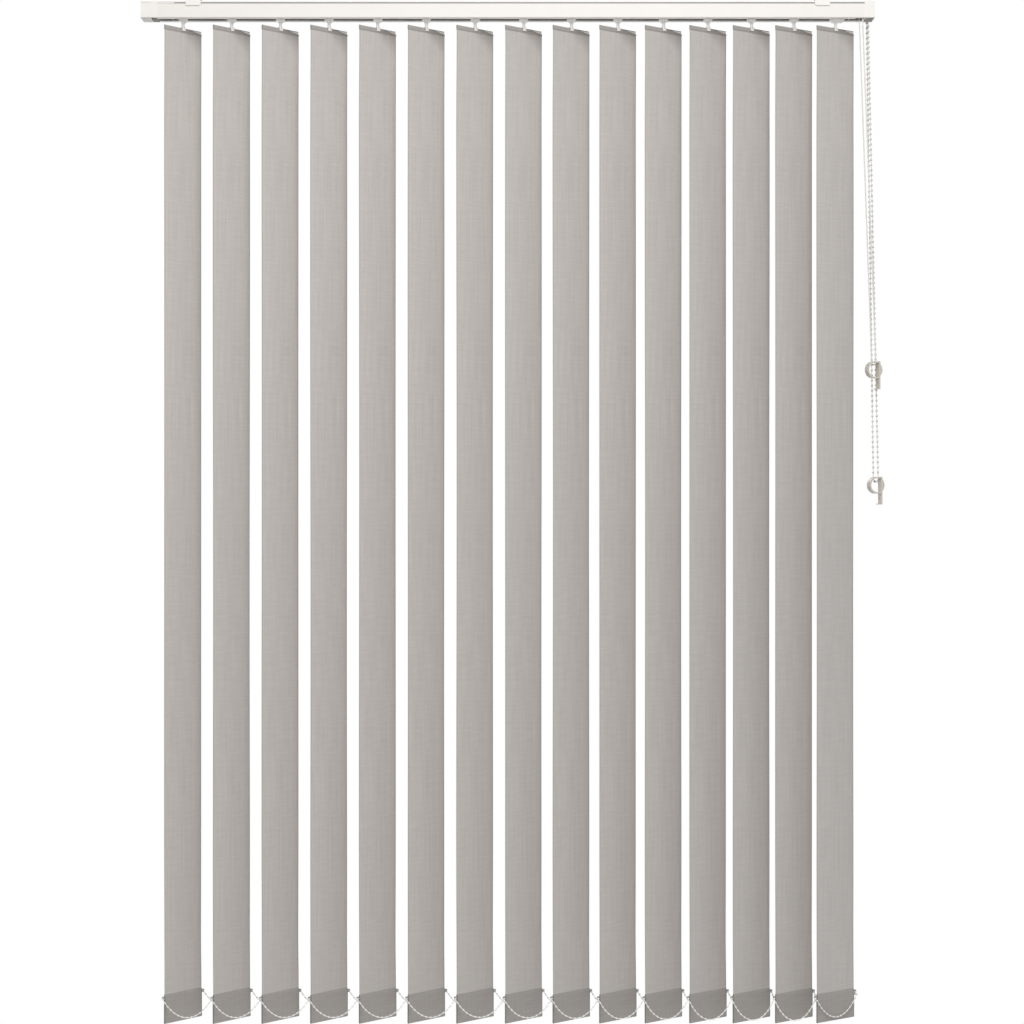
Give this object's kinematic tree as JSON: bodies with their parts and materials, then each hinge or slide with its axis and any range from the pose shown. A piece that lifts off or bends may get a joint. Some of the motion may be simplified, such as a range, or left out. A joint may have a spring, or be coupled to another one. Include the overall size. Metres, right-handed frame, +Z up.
{
  "type": "vertical blind",
  "caption": "Vertical blind: cloth vanes hang from carriers in a slotted headrail, tilt by a ball chain, draw aside by a cord, and are linked along the bottom by bead chains.",
  "frame": {"origin": "middle of the fixing plane on top of the two mounting brackets, midway between their screw holes", "axes": "+X along the headrail to the control end, +Y away from the room, +Z up towards the lintel"},
  "size_m": [1.2197, 0.0904, 1.673],
  "materials": {
    "rail": "satin white",
    "plastic": "satin white",
    "chain": "smooth",
    "cord": "braided",
    "cloth": "fine plain weave",
    "clip": "satin",
    "rod": "drawn"
  },
  "bodies": {
    "headrail_unit": {"headrail": "rail", "mounting_brackets": "plastic", "idler_end_cap": "plastic", "control_end_cap": "plastic", "traverse_cord": "cord", "control_chain": "chain", "safety_clips": "clip", "carrier_01": "plastic"},
    "tilt_drive": {"tilt_rod": "rod", "chain_wheel": "plastic"},
    "return_pulley": {"return_pulley": "plastic"},
    "control_pulley_front": {"control_pulley_front": "plastic"},
    "control_pulley_rear": {"control_pulley_rear": "plastic"},
    "carrier_02": {"carrier_02": "plastic"},
    "carrier_03": {"carrier_03": "plastic"},
    "carrier_04": {"carrier_04": "plastic"},
    "carrier_05": {"carrier_05": "plastic"},
    "carrier_06": {"carrier_06": "plastic"},
    "carrier_07": {"carrier_07": "plastic"},
    "carrier_08": {"carrier_08": "plastic"},
    "carrier_09": {"carrier_09": "plastic"},
    "carrier_10": {"carrier_10": "plastic"},
    "carrier_11": {"carrier_11": "plastic"},
    "carrier_12": {"carrier_12": "plastic"},
    "carrier_13": {"carrier_13": "plastic"},
    "carrier_14": {"carrier_14": "plastic"},
    "lead_carrier": {"lead_carrier": "plastic"},
    "vane_01": {"vane_01": "cloth", "vane_fittings_01": "plastic"},
    "vane_02": {"vane_02": "cloth", "vane_fittings_02": "plastic"},
    "vane_03": {"vane_03": "cloth", "vane_fittings_03": "plastic"},
    "vane_04": {"vane_04": "cloth", "vane_fittings_04": "plastic"},
    "vane_05": {"vane_05": "cloth", "vane_fittings_05": "plastic"},
    "vane_06": {"vane_06": "cloth", "vane_fittings_06": "plastic"},
    "vane_07": {"vane_07": "cloth", "vane_fittings_07": "plastic"},
    "vane_08": {"vane_08": "cloth", "vane_fittings_08": "plastic"},
    "vane_09": {"vane_09": "cloth", "vane_fittings_09": "plastic"},
    "vane_10": {"vane_10": "cloth", "vane_fittings_10": "plastic"},
    "vane_11": {"vane_11": "cloth", "vane_fittings_11": "plastic"},
    "vane_12": {"vane_12": "cloth", "vane_fittings_12": "plastic"},
    "vane_13": {"vane_13": "cloth", "vane_fittings_13": "plastic"},
    "vane_14": {"vane_14": "cloth", "vane_fittings_14": "plastic"},
    "vane_15": {"vane_15": "cloth", "vane_fittings_15": "plastic", "end_chain_loop": "chain"},
    "front_bottom_chain": {"front_bottom_chain": "chain"},
    "back_bottom_chain": {"back_bottom_chain": "chain"}
  },
  "joints": [
    {"name": "vane_tilt", "type": "hinge", "parent": "headrail_unit", "child": "vane_01", "pos_m": [-0.533, 0, -0.045], "axis": [0, 0, 1], "range_deg": [-26, 108]},
    {"name": "traverse", "type": "slide", "parent": "headrail_unit", "child": "lead_carrier", "axis": [-1, 0, 0], "range_m": [0, 0.78161], "deforming": ["front_bottom_chain", "back_bottom_chain"]},
    {"name": "carrier_02_slide", "type": "slide", "parent": "headrail_unit", "child": "carrier_02", "axis": [-1, 0, 0], "range_m": [0, 0.05881]},
    {"name": "carrier_03_slide", "type": "slide", "parent": "headrail_unit", "child": "carrier_03", "axis": [-1, 0, 0], "range_m": [0, 0.11712]},
    {"name": "carrier_04_slide", "type": "slide", "parent": "headrail_unit", "child": "carrier_04", "axis": [-1, 0, 0], "range_m": [0, 0.17543]},
    {"name": "carrier_05_slide", "type": "slide", "parent": "headrail_unit", "child": "carrier_05", "axis": [-1, 0, 0], "range_m": [0, 0.23375]},
    {"name": "carrier_06_slide", "type": "slide", "parent": "headrail_unit", "child": "carrier_06", "axis": [-1, 0, 0], "range_m": [0, 0.29206]},
    {"name": "carrier_07_slide", "type": "slide", "parent": "headrail_unit", "child": "carrier_07", "axis": [-1, 0, 0], "range_m": [0, 0.35037]},
    {"name": "carrier_08_slide", "type": "slide", "parent": "headrail_unit", "child": "carrier_08", "axis": [-1, 0, 0], "range_m": [0, 0.40868]},
    {"name": "carrier_09_slide", "type": "slide", "parent": "headrail_unit", "child": "carrier_09", "axis": [-1, 0, 0], "range_m": [0, 0.46575]},
    {"name": "carrier_10_slide", "type": "slide", "parent": "headrail_unit", "child": "carrier_10", "axis": [-1, 0, 0], "range_m": [0, 0.52158]},
    {"name": "carrier_11_slide", "type": "slide", "parent": "headrail_unit", "child": "carrier_11", "axis": [-1, 0, 0], "range_m": [0, 0.57617]},
    {"name": "carrier_12_slide", "type": "slide", "parent": "headrail_unit", "child": "carrier_12", "axis": [-1, 0, 0], "range_m": [0, 0.62952]},
    {"name": "carrier_13_slide", "type": "slide", "parent": "headrail_unit", "child": "carrier_13", "axis": [-1, 0, 0], "range_m": [0, 0.68162]},
    {"name": "carrier_14_slide", "type": "slide", "parent": "headrail_unit", "child": "carrier_14", "axis": [-1, 0, 0], "range_m": [0, 0.73249]},
    {"name": "vane_02_tilt", "type": "hinge", "parent": "carrier_02", "child": "vane_02", "pos_m": [-0.45312, 0, -0.045], "axis": [0, 0, 1], "range_deg": [-26.1, 108.1]},
    {"name": "vane_03_tilt", "type": "hinge", "parent": "carrier_03", "child": "vane_03", "pos_m": [-0.37324, 0, -0.045], "axis": [0, 0, 1], "range_deg": [-26.1, 108.1]},
    {"name": "vane_04_tilt", "type": "hinge", "parent": "carrier_04", "child": "vane_04", "pos_m": [-0.29336, 0, -0.045], "axis": [0, 0, 1], "range_deg": [-26.1, 108.1]},
    {"name": "vane_05_tilt", "type": "hinge", "parent": "carrier_05", "child": "vane_05", "pos_m": [-0.21349, 0, -0.045], "axis": [0, 0, 1], "range_deg": [-26.1, 108.1]},
    {"name": "vane_06_tilt", "type": "hinge", "parent": "carrier_06", "child": "vane_06", "pos_m": [-0.13361, 0, -0.045], "axis": [0, 0, 1], "range_deg": [-26.1, 108.1]},
    {"name": "vane_07_tilt", "type": "hinge", "parent": "carrier_07", "child": "vane_07", "pos_m": [-0.05373, 0, -0.045], "axis": [0, 0, 1], "range_deg": [-26.1, 108.1]},
    {"name": "vane_08_tilt", "type": "hinge", "parent": "carrier_08", "child": "vane_08", "pos_m": [0.02615, 0, -0.045], "axis": [0, 0, 1], "range_deg": [-26.1, 108.1]},
    {"name": "vane_09_tilt", "type": "hinge", "parent": "carrier_09", "child": "vane_09", "pos_m": [0.10433, 0, -0.045], "axis": [0, 0, 1], "range_deg": [-26.1, 108.1]},
    {"name": "vane_10_tilt", "type": "hinge", "parent": "carrier_10", "child": "vane_10", "pos_m": [0.18081, 0, -0.045], "axis": [0, 0, 1], "range_deg": [-26.1, 108.1]},
    {"name": "vane_11_tilt", "type": "hinge", "parent": "carrier_11", "child": "vane_11", "pos_m": [0.25559, 0, -0.045], "axis": [0, 0, 1], "range_deg": [-26.1, 108.1]},
    {"name": "vane_12_tilt", "type": "hinge", "parent": "carrier_12", "child": "vane_12", "pos_m": [0.32866, 0, -0.045], "axis": [0, 0, 1], "range_deg": [-26.1, 108.1]},
    {"name": "vane_13_tilt", "type": "hinge", "parent": "carrier_13", "child": "vane_13", "pos_m": [0.40004, 0, -0.045], "axis": [0, 0, 1], "range_deg": [-26.1, 108.1]},
    {"name": "vane_14_tilt", "type": "hinge", "parent": "carrier_14", "child": "vane_14", "pos_m": [0.46972, 0, -0.045], "axis": [0, 0, 1], "range_deg": [-26.1, 108.1]},
    {"name": "vane_15_tilt", "type": "hinge", "parent": "lead_carrier", "child": "vane_15", "pos_m": [0.5377, 0, -0.045], "axis": [0, 0, 1], "range_deg": [-26.1, 108.1]},
    {"name": "tilt_rod_turn", "type": "hinge", "parent": "headrail_unit", "child": "tilt_drive", "pos_m": [0, 0.0082, -0.017], "axis": [1, 0, 0], "range_deg": [-157, 649]},
    {"name": "front_bottom_chain_level", "type": "hinge", "parent": "vane_01", "child": "front_bottom_chain", "pos_m": [-0.56116, -0.03948, -1.6315], "axis": [0, 0, 1], "range_deg": [-109.5, 27.5]},
    {"name": "back_bottom_chain_level", "type": "hinge", "parent": "vane_01", "child": "back_bottom_chain", "pos_m": [-0.50484, 0.03948, -1.6315], "axis": [0, 0, 1], "range_deg": [-109.5, 27.5]},
    {"name": "control_pulley_front_turn", "type": "hinge", "parent": "headrail_unit", "child": "control_pulley_front", "pos_m": [0.5756, -0.0168, -0.0135], "axis": [0, 1, 0], "range_deg": [-11200.8, 5]},
    {"name": "control_pulley_rear_turn", "type": "hinge", "parent": "headrail_unit", "child": "control_pulley_rear", "pos_m": [0.571, -0.0128, -0.0205], "axis": [0, 1, 0], "range_deg": [-5, 11200.8]},
    {"name": "return_pulley_turn", "type": "hinge", "parent": "headrail_unit", "child": "return_pulley", "pos_m": [-0.587, -0.0148, -0.013], "axis": [0, 0.8682, 0.4961], "range_deg": [-11114.3, 5]}
  ],
  "couplings": [
    {"joint": "carrier_02_slide", "follows": "traverse", "ratio": 0.074604},
    {"joint": "carrier_03_slide", "follows": "traverse", "ratio": 0.14921},
    {"joint": "carrier_04_slide", "follows": "traverse", "ratio": 0.22381},
    {"joint": "carrier_05_slide", "follows": "traverse", "ratio": 0.29842},
    {"joint": "carrier_06_slide", "follows": "traverse", "ratio": 0.37302},
    {"joint": "carrier_07_slide", "follows": "traverse", "ratio": 0.44762},
    {"joint": "carrier_08_slide", "follows": "traverse", "ratio": 0.52223},
    {"joint": "carrier_09_slide", "follows": "traverse", "ratio": 0.59524},
    {"joint": "carrier_10_slide", "follows": "traverse", "ratio": 0.66667},
    {"joint": "carrier_11_slide", "follows": "traverse", "ratio": 0.73651},
    {"joint": "carrier_12_slide", "follows": "traverse", "ratio": 0.80477},
    {"joint": "carrier_13_slide", "follows": "traverse", "ratio": 0.87143},
    {"joint": "carrier_14_slide", "follows": "traverse", "ratio": 0.93651},
    {"joint": "vane_02_tilt", "follows": "vane_tilt", "ratio": 1},
    {"joint": "vane_03_tilt", "follows": "vane_tilt", "ratio": 1},
    {"joint": "vane_04_tilt", "follows": "vane_tilt", "ratio": 1},
    {"joint": "vane_05_tilt", "follows": "vane_tilt", "ratio": 1},
    {"joint": "vane_06_tilt", "follows": "vane_tilt", "ratio": 1},
    {"joint": "vane_07_tilt", "follows": "vane_tilt", "ratio": 1},
    {"joint": "vane_08_tilt", "follows": "vane_tilt", "ratio": 1},
    {"joint": "vane_09_tilt", "follows": "vane_tilt", "ratio": 1},
    {"joint": "vane_10_tilt", "follows": "vane_tilt", "ratio": 1},
    {"joint": "vane_11_tilt", "follows": "vane_tilt", "ratio": 1},
    {"joint": "vane_12_tilt", "follows": "vane_tilt", "ratio": 1},
    {"joint": "vane_13_tilt", "follows": "vane_tilt", "ratio": 1},
    {"joint": "vane_14_tilt", "follows": "vane_tilt", "ratio": 1},
    {"joint": "vane_15_tilt", "follows": "vane_tilt", "ratio": 1},
    {"joint": "tilt_rod_turn", "follows": "vane_tilt", "ratio": 6},
    {"joint": "front_bottom_chain_level", "follows": "vane_tilt", "ratio": -1.0078},
    {"joint": "back_bottom_chain_level", "follows": "vane_tilt", "ratio": -0.9922},
    {"joint": "control_pulley_front_turn", "follows": "traverse", "rad_per_m": -250},
    {"joint": "control_pulley_rear_turn", "follows": "traverse", "rad_per_m": 250},
    {"joint": "return_pulley_turn", "follows": "traverse", "rad_per_m": -248.07}
  ]
}
